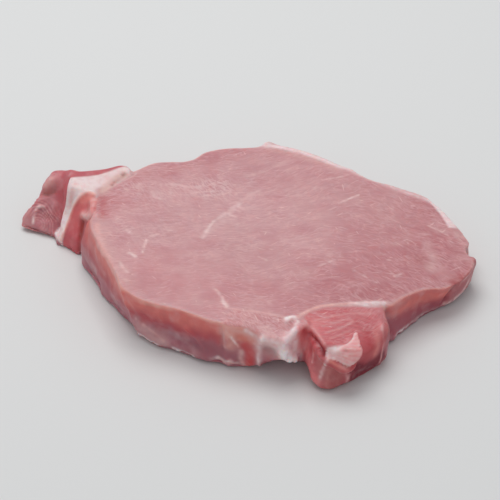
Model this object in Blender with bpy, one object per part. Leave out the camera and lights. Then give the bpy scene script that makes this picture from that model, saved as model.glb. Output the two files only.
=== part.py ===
"""Boneless raw pork chop: one slice across a trimmed loin, lying flat, as a single solid.

Millimetres are used for every named size, because that is how a butcher's slice is measured.
X runs along the slice, from the thin tail to the broad end, Y runs from its front edge to its
back edge, and +Z is up. The origin is the middle of the footprint, on the worktop.

Muscles and fat that lie side by side in the loin are cut as slabs and grown together into one
body. That body is then draped, leaned, lifted and creased the way soft meat settles.
"""
import bpy
import numpy as np
from mathutils import Euler

MM = 0.001

# Driving sizes of the slice.
THICKNESS = 17.0
BROAD_END_DROP = 7.5
BACK_EDGE_DROP = 1.0
SURFACE_WAVE = 0.35
CUT_EDGE_RADIUS = 1.1
GROWING_VOXEL = 0.8
TRIANGLES = 9200

# Outlines seen from above, as knots of smooth closed curves, counter-clockwise.
LOIN_EYE = (
    (67.2, -18.0), (65.0, -12.6), (66.6, -9.4), (62.2, 0.0), (56.6, 8.6), (43.6, 14.4),
    (36.6, 16.4), (27.0, 23.8), (17.0, 29.8), (8.4, 33.2), (5.4, 34.6), (3.6, 32.6),
    (-12.6, 30.2), (-19.0, 24.6), (-31.0, 22.4), (-36.4, 19.0), (-41.5, 13.0), (-45.4, 5.0),
    (-46.0, 0.0), (-48.8, -5.6), (-45.9, -17.0), (-40.9, -29.4), (-37.9, -38.0),
    (-33.6, -42.2), (-21.7, -46.6), (-8.6, -52.8), (4.0, -52.0), (14.0, -48.5),
    (24.0, -44.0), (39.0, -43.2), (44.8, -38.4), (50.0, -34.2), (59.0, -30.4), (64.8, -24.0),
)
FRONT_WEDGE = (
    (-13.0, -48.0), (-8.8, -53.0), (-1.6, -54.6), (4.5, -57.2), (9.4, -58.6), (12.8, -57.0),
    (15.6, -54.6), (17.4, -50.0), (16.0, -46.0), (6.0, -45.0),
)
FRONT_LOBE = (
    (14.6, -46.0), (15.2, -50.4), (17.4, -56.4), (19.0, -60.8), (22.6, -62.6), (28.0, -61.4),
    (33.2, -58.2), (38.2, -53.0), (40.4, -47.6), (38.8, -42.0), (27.0, -40.0),
)
TAIL = (
    (-48.0, 18.6), (-53.0, 20.4), (-57.0, 22.6), (-61.6, 23.2), (-64.2, 19.2), (-67.4, 14.4),
    (-71.4, 11.2), (-70.6, 9.6), (-66.0, 7.0), (-61.4, 5.6), (-56.0, 8.0), (-50.0, 14.0),
)
FAT_WEDGE = (
    (-37.4, 19.8), (-39.4, 22.2), (-46.0, 19.8), (-52.0, 18.4), (-57.0, 17.0), (-58.4, 10.0),
    (-60.4, 4.8), (-59.0, 2.4), (-54.4, 6.6), (-46.0, 5.0), (-39.0, 15.0),
)
SIDE_STRIP = (
    (-45.6, 6.0), (-49.6, 8.2), (-53.4, 6.4), (-57.4, 3.2), (-56.0, 0.8), (-53.8, -1.6),
    (-50.0, -3.0), (-46.0, 0.0),
)
# The torn tag of fat, drawn in its own plane, about the middle of the tag.
FAT_TAG = (
    (-6.2, -0.6), (-3.8, 1.2), (-0.4, 1.6), (1.8, 2.8), (3.8, 6.2), (5.0, 3.6), (5.8, 0.0),
    (4.8, -3.2), (1.0, -5.6), (-1.8, -4.4), (-4.4, -3.0),
)
FAT_TAG_THICKNESS = 2.2
FAT_TAG_PLACE = (25.0, -61.0, 13.6)
FAT_TAG_TILT = 46.0


def smooth_step(low, high, value):
    """0 below low, 1 above high, and a smooth rise between them."""
    t = np.clip((value - low) / (high - low), 0.0, 1.0)
    return t * t * (3.0 - 2.0 * t)


def bump(x, y, centre, reach):
    """A round hill of height 1 at centre that has died away at about 1.5 times its reach."""
    return np.exp(-((x - centre[0]) ** 2 + (y - centre[1]) ** 2) / reach ** 2)


def muscle(name, outline, height, edge_radius=CUT_EDGE_RADIUS):
    """A muscle sawn through flat: a slab with the outline's shape and softly rounded edges."""
    curve = bpy.data.curves.new(name, "CURVE")
    curve.dimensions = "2D"
    curve.fill_mode = "BOTH"
    curve.resolution_u = 6
    curve.bevel_resolution = 3
    curve.bevel_depth = edge_radius * MM
    curve.offset = -edge_radius * MM
    curve.extrude = (height / 2 - edge_radius) * MM
    spline = curve.splines.new("BEZIER")
    spline.bezier_points.add(len(outline) - 1)
    for knot, (x, y) in zip(spline.bezier_points, outline):
        knot.co = (x * MM, y * MM, 0.0)
        knot.handle_left_type = knot.handle_right_type = "AUTO"
    spline.use_cyclic_u = True
    slab = bpy.data.objects.new(name, curve)
    slab.location.z = height / 2 * MM
    bpy.context.collection.objects.link(slab)
    return slab


def fat_tag():
    """The tag of fat, hanging over the front of the lobe from its torn upper edge."""
    tag = muscle("fat_tag", FAT_TAG, FAT_TAG_THICKNESS, edge_radius=0.8)
    tag.location = [MM * place for place in FAT_TAG_PLACE]
    tag.rotation_euler = Euler((np.radians(FAT_TAG_TILT), 0.0, 0.0))
    return tag


def evaluated_mesh(source):
    """A plain mesh of the object as its modifiers leave it, in world space."""
    graph = bpy.context.evaluated_depsgraph_get()
    graph.update()
    mesh = bpy.data.meshes.new_from_object(source.evaluated_get(graph))
    mesh.transform(source.matrix_world)
    return mesh


def grown_together(name, slabs):
    """One body from overlapping slabs: their meshes joined, then remeshed into a single skin."""
    bpy.context.view_layer.update()
    corners, faces = [], []
    for slab in slabs:
        mesh = evaluated_mesh(slab)
        first = len(corners)
        corners += [vertex.co.copy() for vertex in mesh.vertices]
        faces += [[first + i for i in polygon.vertices] for polygon in mesh.polygons]
        bpy.data.objects.remove(slab)
        bpy.data.meshes.remove(mesh)
    joined = bpy.data.meshes.new(name)
    joined.from_pydata(corners, [], faces)
    body = bpy.data.objects.new(name, joined)
    bpy.context.collection.objects.link(body)
    skin = body.modifiers.new("Skin", "REMESH")
    skin.mode = "VOXEL"
    skin.voxel_size = GROWING_VOXEL * MM
    body.data = evaluated_mesh(body)
    body.modifiers.clear()
    return body


def points_of(body):
    """The body's vertices in millimetres, one row each."""
    places = np.empty(len(body.data.vertices) * 3)
    body.data.vertices.foreach_get("co", places)
    return places.reshape(-1, 3) / MM


def normals_of(body):
    """The body's vertex normals, one row each."""
    directions = np.empty(len(body.data.vertices) * 3)
    body.data.vertices.foreach_get("normal", directions)
    return directions.reshape(-1, 3)


def set_points(body, points):
    """Writes millimetre rows back to the body's vertices."""
    body.data.vertices.foreach_set("co", (points * MM).ravel())
    body.data.update()


def top_height(x, y):
    """How high the cut face lies: level over the eye, falling to the broad end and the tail."""
    height = THICKNESS - BROAD_END_DROP * smooth_step(14.0, 78.0, x)
    height -= BACK_EDGE_DROP * smooth_step(4.0, 34.0, y)
    height += SURFACE_WAVE * np.sin(x / 9.0 + 0.6) * np.sin(y / 11.0 + x / 30.0)
    height -= 2.0 * bump(x, y, (5.0, -60.0), 8.0)
    height -= 4.6 * bump(x, y, (37.0, -61.0), 12.0)
    up_the_tail = (x + 66.0) * 0.37 + (y - 8.0) * 0.93
    tail = 2.6 + 12.0 * smooth_step(-2.0, 14.0, up_the_tail)
    height += (tail - height) * smooth_step(55.5, 60.0, -x)
    up_the_strip = (x + 52.0) * 0.68 + (y - 4.0) * 0.73
    across_the_strip = (x + 52.4) * 0.73 - (y - 3.4) * 0.68
    strip = 4.2 + 12.8 * smooth_step(-7.5, 4.5, up_the_strip)
    strip -= 1.8 * smooth_step(2.0, 6.0, np.abs(across_the_strip))
    in_strip = smooth_step(48.6, 51.0, -x) * smooth_step(61.0, 57.5, -x) * smooth_step(10.0, 7.0, y)
    height += (strip - height) * in_strip
    return height


def drape(points):
    """Scales each column of meat to the height of the cut face above it."""
    x, y, z = points.T
    points[:, 2] = z * top_height(x, y) / THICKNESS


# Where the foot of the wall stands away from its rim: a place, its reach, and the shift in X and Y.
LEANS = (
    ((-48.0, -15.0), 12.0, (-1.8, -1.4)),
    ((-48.5, -5.0), 6.0, (-2.8, 0.2)),
    ((-38.0, -40.0), 7.0, (1.6, 3.4)),
    ((-18.0, -49.0), 10.0, (-0.3, -1.4)),
    ((58.0, -33.0), 10.0, (0.0, 3.4)),
    ((67.0, -19.0), 8.0, (-0.4, 2.4)),
    ((-58.0, 3.0), 4.0, (-1.0, -1.4)),
    ((-70.0, 9.0), 5.0, (-1.2, -1.0)),
    ((16.0, -58.0), 6.0, (-2.6, -1.2)),
    ((24.0, -62.0), 7.0, (0.0, -0.8)),
    ((46.0, -38.0), 6.0, (0.4, -0.8)),
    ((0.0, 33.0), 22.0, (0.0, 1.8)),
    ((40.0, 16.0), 18.0, (0.8, 1.6)),
)


def lean(points):
    """Moves the lower part of the wall in or out, most at the worktop and not at all at the rim."""
    x, y, z = points.T.copy()
    low = np.clip(1.0 - z / top_height(x, y), 0.0, 1.0)
    for place, reach, (shift_x, shift_y) in LEANS:
        share = bump(x, y, place, reach) * low
        points[:, 0] += share * shift_x
        points[:, 1] += share * shift_y


# Where the underside leaves the worktop: a place, its reach, and the lift.
LIFTS = (
    ((9.0, -61.0), 8.0, 8.0),
    ((69.0, -22.0), 10.0, 2.6),
    ((-73.0, 12.0), 5.0, 1.0),
)


def lift(points):
    """Raises the underside in places, and leaves the cut face where it is."""
    x, y, z = points.T.copy()
    low = np.clip(1.0 - z / top_height(x, y), 0.0, 1.0)
    for place, reach, height in LIFTS:
        points[:, 2] += height * low * bump(x, y, place, reach)


# Folds and gaps between muscles: the two ends of each, its half width, and how deep it sinks.
CREASES = (
    ((-48.4, -2.2, 17.0), (-51.0, -2.6, 7.0), 1.5, 1.6),
    ((17.6, -54.0, 12.5), (19.8, -61.0, 9.5), 1.5, 1.8),
    ((41.0, -45.0, 14.0), (40.6, -46.0, 2.0), 1.5, 1.2),
    ((-30.0, -44.0, 7.5), (-12.0, -51.0, 6.5), 2.6, 0.8),
    ((-57.6, 17.0, 14.0), (-60.8, 5.6, 3.0), 1.2, 1.0),
)


def distance_to_line(points, start, end):
    """How far each point is from the straight line between two points."""
    start, along = np.array(start), np.subtract(end, start)
    share = np.clip((points - start) @ along / (along @ along), 0.0, 1.0)
    return np.linalg.norm(points - start - share[:, None] * along, axis=1)


def crease(points, normals):
    """Sinks a soft groove into the surface along each fold."""
    for start, end, half_width, depth in CREASES:
        near = np.exp(-(distance_to_line(points, start, end) / half_width) ** 2)
        points -= normals * (depth * near)[:, None]


def settle(points, flat_within=0.45):
    """Presses the underside flat on the worktop and centres the footprint on the origin."""
    z = points[:, 2]
    z[z < flat_within] = 0.0
    low, high = points.min(axis=0), points.max(axis=0)
    points -= ((low[0] + high[0]) / 2, (low[1] + high[1]) / 2, low[2])


def meat_material():
    """Wet raw pork: pale rose, and a little glossy."""
    material = bpy.data.materials.new("raw_pork")
    material.use_nodes = True
    shader = material.node_tree.nodes["Principled BSDF"]
    shader.inputs["Base Color"].default_value = (0.57, 0.30, 0.31, 1.0)
    shader.inputs["Roughness"].default_value = 0.38
    shader.inputs["Metallic"].default_value = 0.0
    return material


def simplified(body, triangles):
    """Spends the triangles where the surface bends, and shades the meat smooth."""
    fewer = body.modifiers.new("Fewer triangles", "DECIMATE")
    fewer.ratio = triangles / (2 * len(body.data.polygons))
    fewer.use_collapse_triangulate = True
    body.data.shade_smooth()


for leftover in list(bpy.data.objects):
    bpy.data.objects.remove(leftover)

chop = grown_together("pork_chop", (
    muscle("loin_eye", LOIN_EYE, THICKNESS),
    muscle("front_wedge", FRONT_WEDGE, THICKNESS),
    muscle("front_lobe", FRONT_LOBE, THICKNESS, edge_radius=3.0),
    muscle("tail", TAIL, THICKNESS, edge_radius=3.0),
    muscle("fat_wedge", FAT_WEDGE, THICKNESS + 0.6, edge_radius=1.4),
    muscle("side_strip", SIDE_STRIP, THICKNESS - 0.5, edge_radius=2.0),
    fat_tag(),
))
shape = points_of(chop)
drape(shape)
lean(shape)
lift(shape)
set_points(chop, shape)
crease(shape, normals_of(chop))
settle(shape)
set_points(chop, shape)
simplified(chop, TRIANGLES)
chop.data.materials.append(meat_material())
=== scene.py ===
import math

import bpy
import numpy as np
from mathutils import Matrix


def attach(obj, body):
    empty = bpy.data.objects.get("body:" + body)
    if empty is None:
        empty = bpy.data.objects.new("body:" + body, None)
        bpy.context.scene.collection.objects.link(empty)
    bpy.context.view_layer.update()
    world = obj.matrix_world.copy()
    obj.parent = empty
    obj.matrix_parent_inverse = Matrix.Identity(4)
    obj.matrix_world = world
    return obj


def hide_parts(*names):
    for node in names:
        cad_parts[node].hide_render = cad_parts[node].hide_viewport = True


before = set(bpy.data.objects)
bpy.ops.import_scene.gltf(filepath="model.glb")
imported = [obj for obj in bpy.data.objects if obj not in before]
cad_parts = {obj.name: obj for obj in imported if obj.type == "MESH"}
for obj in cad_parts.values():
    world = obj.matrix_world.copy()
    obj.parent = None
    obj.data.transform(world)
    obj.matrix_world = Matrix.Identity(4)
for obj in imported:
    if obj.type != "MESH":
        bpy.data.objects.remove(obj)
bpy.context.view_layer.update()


# The torn tag of fat. A thin fan of back fat left where the front lobe was pulled away from the
# loin. It hangs over the front of the lobe by its upper edge, and is grown into the slice below.
MM = 0.001
TAG_ROWS = (-4.05, -3.8, -2.9, -2.45, -2.0, -1.3, -0.4, 0.2, 0.7, 1.0, 2.2, 3.4, 5.6, 6.0)
TAG_LEFT = (0.4, -0.5, -1.9, -3.6, -4.9, -5.7, -5.7, -5.0, -3.4, -1.4, 0.5, 1.9, 2.5, 3.0)
TAG_RIGHT = (1.6, 2.3, 3.5, 3.9, 4.2, 4.6, 4.8, 4.9, 4.8, 4.8, 4.4, 4.2, 3.8, 3.5)
TAG_PLACE = (29.4, -47.0, 14.4)
TAG_THICKNESS = 1.5

bpy.ops.object.select_all(action="DESELECT")
bpy.ops.mesh.primitive_grid_add(x_subdivisions=24, y_subdivisions=28, size=2.0)
fat_tag = bpy.context.object
fat_tag.name = "fat_tag"
for corner in fat_tag.data.vertices:
    up = -4.05 + 5.03 * (corner.co.y + 1.0)
    left, right = np.interp(up, TAG_ROWS, TAG_LEFT), np.interp(up, TAG_ROWS, TAG_RIGHT)
    across = left + (right - left) * (corner.co.x + 1.0) / 2.0
    pleat = 0.05 * math.sin(40.0 * math.atan2(up, across + 8.0)) + 0.22 * math.sin(across * 0.8 + 1.0)
    reach, climb = (1.15 * up, 0.16 * up) if up > 0.0 else (0.7 * up, 1.0 * up)
    corner.co = (
        (TAG_PLACE[0] + across) * MM, (TAG_PLACE[1] + reach - 0.6 * pleat) * MM, (TAG_PLACE[2] + climb + pleat) * MM)
thicken = fat_tag.modifiers.new("Thicken", "SOLIDIFY")
thicken.thickness = TAG_THICKNESS * MM
thicken.offset = -1.0
bpy.ops.object.modifier_apply(modifier=thicken.name)


# The slice of loin. Raw boneless pork, cut across the muscles with one stroke of a knife, so both
# faces are flat and the walls are the trimmed outside of the loin. The muscles, the fat between
# them and the skin around them are one piece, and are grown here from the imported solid.
SKIN_VOXEL = 0.43

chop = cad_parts["pork_chop"].copy()
chop.data = chop.data.copy()
chop.name = "raw_pork_chop"
chop.parent = None
bpy.context.collection.objects.link(chop)
bpy.ops.object.select_all(action="DESELECT")
chop.select_set(True)
bpy.context.view_layer.objects.active = chop
bpy.ops.object.mode_set(mode="EDIT")
bpy.ops.mesh.select_all(action="SELECT")
bpy.ops.mesh.remove_doubles(threshold=0.01 * MM)
bpy.ops.object.mode_set(mode="OBJECT")
rounding = chop.modifiers.new("Round the facets", "SUBSURF")
rounding.levels = rounding.render_levels = 1
bpy.ops.object.modifier_apply(modifier=rounding.name)
fat_tag.select_set(True)
bpy.ops.object.join()
skin = chop.modifiers.new("Even skin", "REMESH")
skin.mode = "VOXEL"
skin.voxel_size = SKIN_VOXEL * MM
bpy.ops.object.modifier_apply(modifier=skin.name)
soften = chop.modifiers.new("Soften", "SMOOTH")
soften.factor = 0.5
soften.iterations = 5
bpy.ops.object.modifier_apply(modifier=soften.name)

# The underside lies flat on the board, so it is kept plain.
for face in chop.data.polygons:
    face.select = face.normal.z < -0.97 and face.center.z < 0.3 * MM
bpy.ops.object.mode_set(mode="EDIT")
bpy.ops.mesh.decimate(ratio=0.05)
bpy.ops.object.mode_set(mode="OBJECT")


def read_rows(piece, what):
    """Vertex places in millimetres, or vertex normals, one row each."""
    rows = np.empty(len(piece.data.vertices) * 3)
    piece.data.vertices.foreach_get(what, rows)
    rows = rows.reshape(-1, 3)
    return rows / MM if what == "co" else rows


def write_places(piece, places):
    """Puts rows of millimetres back as the piece's vertices."""
    piece.data.vertices.foreach_set("co", (places * MM).ravel())
    piece.data.update()


def rise(low, high, value):
    """0 below low, 1 above high and smooth between; it falls where low is above high."""
    t = np.clip((value - low) / (high - low), 0.0, 1.0)
    return t * t * (3.0 - 2.0 * t)


def lumps(places, size, seed):
    """Smooth random values from -1 to 1 that change over about the given size."""
    cells = places / size + 31.7 * seed
    low = np.floor(cells).astype(np.int64)
    part = cells - low
    part = part * part * (3.0 - 2.0 * part)
    total = np.zeros(len(places))
    for corner in np.ndindex(2, 2, 2):
        weight = np.prod(np.where(corner, part, 1.0 - part), axis=1)
        key = (low + corner) @ np.array([374761393, 668265263, 144269504])
        key = (key ^ (key >> 13)) & 0xFFFFFFFF
        key = (key * 1274126177) & 0xFFFFFFFF
        total += weight * ((key ^ (key >> 16)) / 2.0 ** 31 - 1.0)
    return total


def gap_to_line(places, line):
    """How far each place is from a line through the given points."""
    closest = np.full(len(places), 1.0e9)
    for start, end in zip(line, line[1:] or line):
        along = np.subtract(end, start) + 1.0e-9
        share = np.clip((places - start) @ along / (along @ along), 0.0, 1.0)
        closest = np.minimum(closest, np.linalg.norm(places - start - share[:, None] * along, axis=1))
    return closest


def near_line(places, line, half_width):
    """1 on the line, fading to nothing at about twice the half width."""
    return np.exp(-(gap_to_line(places, line) / half_width) ** 2)


def inside(places, outline, feather):
    """Seen from above: 1 inside the outline, 0 outside it, soft over the feather."""
    flat = places[:, :2]
    within = np.zeros(len(places), bool)
    edge = np.full(len(places), 1.0e9)
    for start, end in zip(outline, outline[1:] + outline[:1]):
        along = np.subtract(end, start)
        share = np.clip((flat - start) @ along / (along @ along), 0.0, 1.0)
        edge = np.minimum(edge, np.linalg.norm(flat - start - share[:, None] * along, axis=1))
        spans = (start[1] > flat[:, 1]) != (end[1] > flat[:, 1])
        crossing = start[0] + (flat[:, 1] - start[1]) * along[0] / (along[1] or 1.0e-9)
        within ^= spans & (flat[:, 0] < crossing)
    return rise(-feather, feather, np.where(within, edge, -edge))


def cut_height(places):
    """The height of the upper cut face over the eye of the loin."""
    return 17.0 - 7.5 * rise(16.2, 80.2, places[:, 0]) - 1.0 * rise(18.5, 48.5, places[:, 1])


# Where the slice folds, tears and swells: a line, its half width, and how far it rises or sinks.
STRIP_CREVICE = ((-49.4, 16.2, 9.9), (-49.7, 14.9, 7.6), (-50.0, 13.4, 4.9), (-50.4, 12.0, 1.6))
STRIP_EDGE = (
    (-45.4, 20.4, 17.2), (-47.7, 21.4, 17.5), (-50.3, 21.5, 15.7), (-52.2, 21.0, 12.6), (-53.2, 19.8, 10.0),
    (-54.1, 18.5, 7.9), (-55.1, 16.9, 5.6), (-56.4, 16.2, 2.6))
STRIP_FOLD = ((-49.0, 16.9, 11.9), (-47.6, 15.6, 12.4), (-46.0, 13.2, 14.8), (-44.6, 11.4, 16.5))
TAIL_SEAM = ((-54.0, 29.0, 16.0), (-54.6, 26.0, 14.5), (-54.9, 23.6, 10.5), (-56.0, 22.5, 6.6), (-57.4, 21.7, 2.8), (-58.2, 20.4, 1.0))
WEDGE_NOTCH = ((-34.0, 32.0, 16.6), (-36.2, 29.6, 16.8), (-38.6, 27.0, 17.0))
CORNER_RIDGE = ((-35.0, -23.2, 15.0), (-34.2, -23.2, 11.3), (-33.1, -23.6, 8.1), (-32.1, -24.4, 4.5), (-30.3, -25.8, 1.6))
FRONT_CREASE = (
    (-29.4, -27.7, 10.2), (-27.1, -28.5, 8.6), (-24.8, -29.5, 7.1), (-21.2, -31.2, 5.8), (-17.7, -33.0, 5.5),
    (-13.8, -35.3, 5.3), (-10.6, -37.1, 4.5))
FRONT_FLARE = ((-31.1, -25.5, 5.0), (-27.8, -28.4, 3.6), (-24.2, -30.6, 2.4), (-19.8, -32.7, 2.0), (-15.3, -35.1, 2.2), (-10.9, -37.3, 2.0))
WALL_RIDGE = ((-16.4, -33.8, 10.9), (-14.7, -34.8, 9.8), (-12.9, -35.7, 7.6), (-11.5, -36.6, 5.2))
WEDGE_WALL_EDGE = ((-6.4, -38.2, 15.0), (-6.2, -38.6, 10.8), (-6.0, -38.8, 7.1))
WALL_TEAR = ((-4.8, -38.4, 7.0), (-2.7, -38.5, 5.7), (-1.6, -38.9, 4.5), (-1.2, -39.1, 2.4))
WALL_TAB = ((-4.4, -39.4, 4.1), (-2.8, -39.6, 3.4))
WHITE_FLECK = ((-3.4, -39.6, 12.5), (-2.5, -39.6, 10.8), (-2.0, -39.7, 9.8))
WHITE_BAND = ((5.6, -42.2, 14.4), (4.6, -42.6, 12.8), (4.2, -42.4, 9.6), (4.3, -42.2, 6.6), (4.9, -42.0, 2.4))
GREY_HOLLOW = ((6.8, -42.0, 9.8), (8.8, -42.4, 9.4))
WEDGE_LIP = ((6.2, -42.5, 14.5), (7.9, -43.4, 14.5), (9.6, -43.9, 14.3), (11.3, -44.7, 14.9))
SEAM_KNOT_TOP = ((12.8, -37.0, 17.0), (14.4, -36.6, 17.1), (15.7, -37.8, 17.9), (15.6, -40.2, 17.2), (14.0, -43.0, 16.3), (12.4, -44.9, 15.2))
SEAM_KNOT_LOW = ((11.9, -45.0, 14.4), (11.4, -44.8, 12.4), (11.9, -44.6, 10.0), (13.4, -43.8, 8.2), (15.0, -42.8, 6.8))
KNOT_HOLE = ((14.2, -43.0, 13.6), (14.4, -42.7, 11.0))
LOBE_RIM = ((17.4, -38.0, 17.2), (18.9, -38.9, 16.7), (20.0, -39.8, 16.1), (21.1, -41.6, 16.0), (22.2, -43.8, 16.0), (23.3, -46.0, 15.6))
LOBE_CREVICE = ((17.8, -40.4, 15.2), (19.1, -41.0, 14.4), (20.4, -42.8, 14.8), (21.5, -44.8, 15.2), (22.5, -46.6, 14.6), (23.4, -47.8, 13.2))
LOBE_SIDE_RIDGE = ((21.0, -45.4, 13.6), (20.5, -45.8, 11.6), (20.0, -46.0, 8.4))
LOBE_FRONT_LINE = ((24.2, -48.7, 12.1), (23.1, -48.4, 8.9), (22.3, -48.5, 5.6), (21.5, -49.0, 2.3))
LOBE_SEAM = (
    (15.8, -36.2, 17.4), (17.5, -34.4, 17.2), (19.8, -32.5, 17.0), (22.5, -30.9, 16.7), (26.9, -29.6, 16.3),
    (30.7, -28.8, 15.9), (35.7, -27.8, 15.2), (41.2, -26.9, 14.4))
LOBE_SIDE_LINE = ((40.3, -35.4, 12.8), (40.4, -37.4, 10.6), (40.5, -38.6, 6.6), (39.7, -40.0, 3.2))
LOBE_SPECK = ((40.4, -34.6, 12.9), (40.2, -36.0, 12.3))
SIDE_GROOVE = ((42.2, -28.3, 14.5), (42.7, -28.9, 9.9), (43.0, -29.0, 4.0))
END_CREASE = ((63.2, -13.4, 9.2), (61.7, -14.2, 8.1), (60.6, -14.3, 6.2), (59.8, -14.2, 4.0))
BACK_NIB = ((6.6, 47.6, 16.6), (8.2, 48.6, 17.2))
TAIL_LUMP = ((-59.4, 31.8, 13.2), (-61.4, 30.8, 12.0))
TAIL_LUMP_FOLD = ((-64.2, 30.2, 9.4), (-62.6, 29.8, 10.2), (-60.9, 29.8, 9.9), (-59.0, 29.9, 10.7))
TAIL_FILM = ((-65.3, 23.8, 3.2), (-64.9, 25.4, 5.1), (-64.3, 26.7, 6.3), (-63.1, 27.3, 7.0), (-61.6, 27.0, 6.8))

FOLDS = (
    (STRIP_CREVICE, 0.8, -0.9), (((-46.4, 10.5, 12.5), (-47.0, 8.5, 6.5)), 3.0, 1.5), (STRIP_EDGE, 0.7, 0.55), (TAIL_SEAM, 0.9, -0.8), (WEDGE_NOTCH, 0.8, -0.6),
    (STRIP_FOLD, 1.4, 1.1), (((-45.6, 17.6, 16.4), (-46.0, 14.8, 16.2)), 1.4, 0.5),
    (((-36.9, 30.6, 17.0),), 0.8, -0.5), (((-40.0, 25.0, 17.3),), 1.0, -0.5),
    (CORNER_RIDGE, 1.6, 0.7), (FRONT_CREASE, 1.3, -0.5), (FRONT_FLARE, 2.4, 0.5), (WALL_RIDGE, 0.9, 0.6),
    (WEDGE_WALL_EDGE, 0.7, -0.6), (WALL_TEAR, 0.5, -0.6), (WALL_TAB, 1.2, 0.9), (WHITE_FLECK, 0.6, 0.4),
    (WHITE_BAND, 0.8, 1.0), (GREY_HOLLOW, 2.2, -0.9), (WEDGE_LIP, 0.9, 0.5), (SEAM_KNOT_TOP, 1.1, 0.7),
    (SEAM_KNOT_LOW, 1.5, 1.0), (KNOT_HOLE, 0.8, -0.3), (LOBE_RIM, 0.7, 0.4), (LOBE_CREVICE[1:], 0.8, -0.9),
    (LOBE_SIDE_RIDGE, 0.9, 0.6), (LOBE_FRONT_LINE, 0.8, 0.5), (LOBE_SEAM, 0.9, 0.3),
    (LOBE_SIDE_LINE, 0.9, 0.2), (LOBE_SPECK, 0.8, 0.3), (((43.0, -31.0, 2.0), (44.6, -28.0, 2.0)), 1.8, 1.4), (SIDE_GROOVE, 1.3, -0.5), (END_CREASE, 0.9, -0.8), (((69.4, -1.6, 9.8), (69.5, -1.4, 8.0)), 1.1, 0.9), (((20.2, -46.8, 2.0), (24.0, -48.8, 1.5)), 2.4, 1.7),
    (((34.0, -46.4, 2.0), (38.0, -43.0, 2.0)), 2.4, -1.3),
    (((-48.0, 3.0, 2.0), (-45.0, -4.0, 2.0)), 2.5, -1.5), (((-39.5, -14.0, 2.0), (-36.0, -19.0, 2.0)), 2.5, -1.0), (((-21.0, -33.0, 1.0), (-7.0, -38.5, 1.0)), 2.0, -0.8),
    (((-67.0, 22.5, 1.5), (-62.0, 20.0, 1.0)), 2.0, -1.3), (((34.0, 35.0, 14.0), (44.0, 29.5, 13.0), (56.0, 26.0, 11.0)), 3.5, 0.9),
    (((-27.0, 36.5, 14.0), (-14.0, 42.5, 14.0)), 3.5, 0.8), (((66.5, 9.0, 9.0), (68.0, 5.0, 8.0)), 2.5, -1.0),
    (((-54.0, 36.0, 14.0), (-38.0, 36.0, 15.0)), 2.5, -0.8),
    (TAIL_LUMP, 1.8, 1.7), (((-63.4, 27.4, 8.0), (-66.6, 26.6, 4.6)), 1.6, 0.5), (TAIL_LUMP_FOLD, 0.9, -1.1), (((-63.6, 28.4, 8.8), (-65.0, 28.0, 7.6)), 1.0, 0.5), (TAIL_FILM, 0.6, 0.45),
)

places = read_rows(chop, "co")
facing = read_rows(chop, "normal")
resting = places.copy()
swelling = sum(height * near_line(places, line, half_width) for line, half_width, height in FOLDS)

# The tail is wrinkled like a loosened sleeve, in rings about its tip.
on_tail = rise(55.0, 58.5, -places[:, 0]) * rise(18.0, 20.0, places[:, 1])
ring = np.linalg.norm(places - (-64.0, 23.0, 3.4), axis=1) + 1.3 * lumps(places, 3.2, 1) + 1.0 * lumps(places, 6.0, 37)
aslant = rise(-1.0, 1.5, 0.8 * (places[:, 0] + 64.0) + 0.6 * (places[:, 1] - 23.0))
ripple = np.sin(ring * 2.0 * math.pi / 0.95) * (0.6 + 0.6 * lumps(places, 2.5, 11))
swelling += 0.16 * on_tail * aslant * rise(1.0, 2.0, ring) * rise(11.0, 7.0, ring) * ripple
swelling += on_tail * (0.35 * lumps(places, 3.2, 12) + 0.18 * lumps(places, 1.4, 44))

# The walls are pulled and lumpy, and the foot is ragged where it was trimmed against the board.
wall = rise(0.75, 0.35, facing[:, 2]) * rise(-0.95, -0.6, facing[:, 2])
swelling += wall * (0.35 * lumps(places, 5.0, 2) + 0.16 * lumps(places, 2.2, 3) - 0.15)
foot = wall * rise(2.4, 0.4, places[:, 2])
swelling += foot * (0.5 * lumps(places * (1.0, 1.0, 0.3), 1.5, 4) - 0.2)
knots = np.maximum(0.5 * near_line(places, SEAM_KNOT_TOP, 1.8), near_line(places, SEAM_KNOT_LOW, 2.2))
swelling += 0.9 * knots * lumps(places, 1.25, 14)
swelling += 0.45 * near_line(places, ((24.6, -47.6, 13.8), (28.6, -47.2, 14.6)), 2.0) * lumps(places, 1.2, 15)

# The cut face gives a little under the knife.
cut_face = rise(0.6, 0.9, facing[:, 2])
swelling += cut_face * (0.16 * lumps(places, 9.0, 5) + 0.07 * lumps(places * (0.45, 1.0, 1.0), 2.4, 6))

# The lobe's muscle bundles run from front left to back right.
on_lobe = cut_face * inside(places, ((18.5, -35.5), (22.0, -32.6), (40.5, -28.8), (40.0, -38.0), (33.0, -46.0), (24.5, -47.0)), 1.0)
bundle = places[:, 1] - 0.28 * places[:, 0] + 0.02 * (places[:, 0] - 24.0) ** 2 + 0.7 * lumps(places, 4.0, 7)
swelling += 0.10 * on_lobe * np.sin(bundle * 2.0 * math.pi / 1.6) * (0.7 + 0.5 * lumps(places, 3.0, 13))

places += facing * swelling[:, None]
places += np.array((0.0, 0.5, 1.5)) * near_line(resting, BACK_NIB, 1.2)[:, None]
places += np.array((0.0, -0.7, 0.3)) * near_line(resting, SEAM_KNOT_LOW[2:], 1.6)[:, None]
places[:, 2] = np.maximum(places[:, 2], 0.0)
write_places(chop, places)
bpy.ops.object.shade_smooth()


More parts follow.
